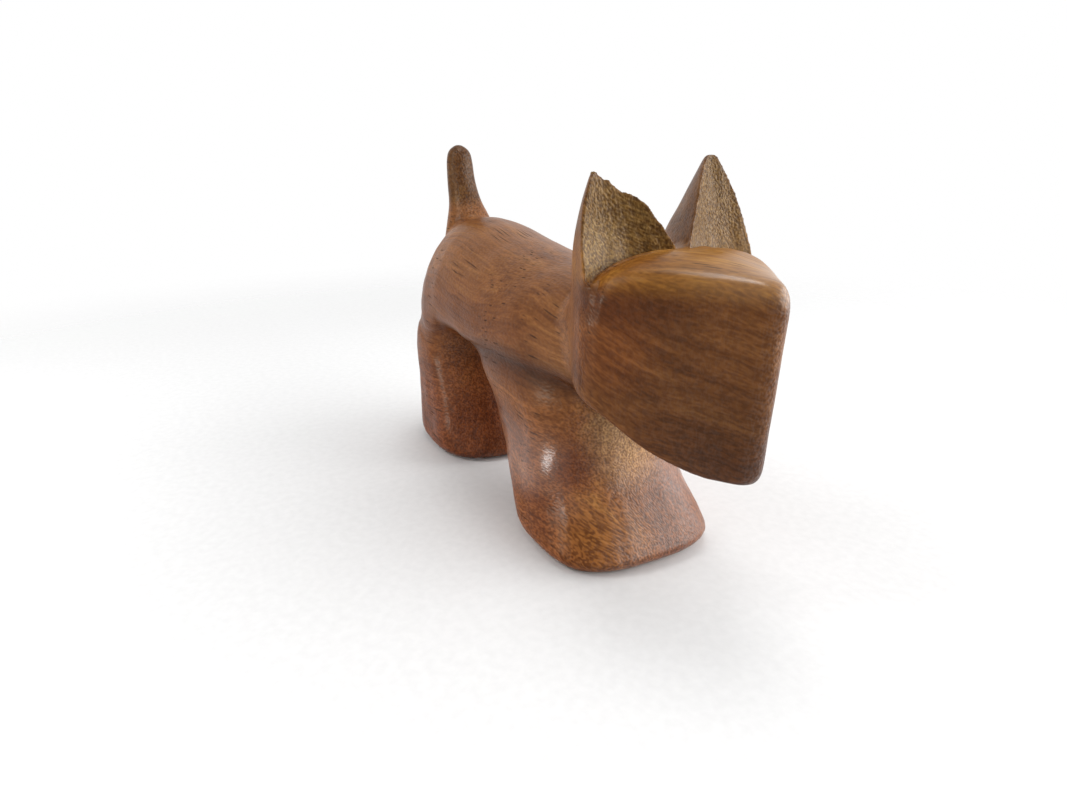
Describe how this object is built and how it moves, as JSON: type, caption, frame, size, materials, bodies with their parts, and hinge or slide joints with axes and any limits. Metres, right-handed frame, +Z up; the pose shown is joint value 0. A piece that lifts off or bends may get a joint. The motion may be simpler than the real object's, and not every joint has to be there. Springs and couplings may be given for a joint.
{
  "type": "carved dog figurine",
  "caption": "Carved lacquered wooden terrier ornament with a wedge head, scooped pointed ears, broad leg blocks and an upright stub tail.",
  "frame": {"origin": "on the table under the middle of the figure's bounding box", "axes": "+X towards the nose, +Y to the dog's left, +Z up"},
  "size_m": [0.154, 0.0472, 0.0995],
  "materials": {
    "body_wood": "brown hardwood under satin-gloss lacquer",
    "ear_wood": "brown hardwood, lacquered, with rough gouge cuts on the front faces",
    "leg_wood": "reddish brown hardwood under satin-gloss lacquer",
    "dowel_wood": "bare pale hardwood"
  },
  "bodies": {
    "root": {"torso": "body_wood", "head": "body_wood", "tail": "body_wood", "right_ear": "ear_wood", "left_ear": "ear_wood", "front_legs": "leg_wood", "rear_legs": "leg_wood", "right_neck_dowel": "dowel_wood", "left_neck_dowel": "dowel_wood", "right_front_leg_dowel": "dowel_wood", "left_front_leg_dowel": "dowel_wood", "right_rear_leg_dowel": "dowel_wood", "left_rear_leg_dowel": "dowel_wood", "right_ear_dowel": "dowel_wood", "left_ear_dowel": "dowel_wood", "tail_dowel": "dowel_wood"}
  },
  "joints": []
}
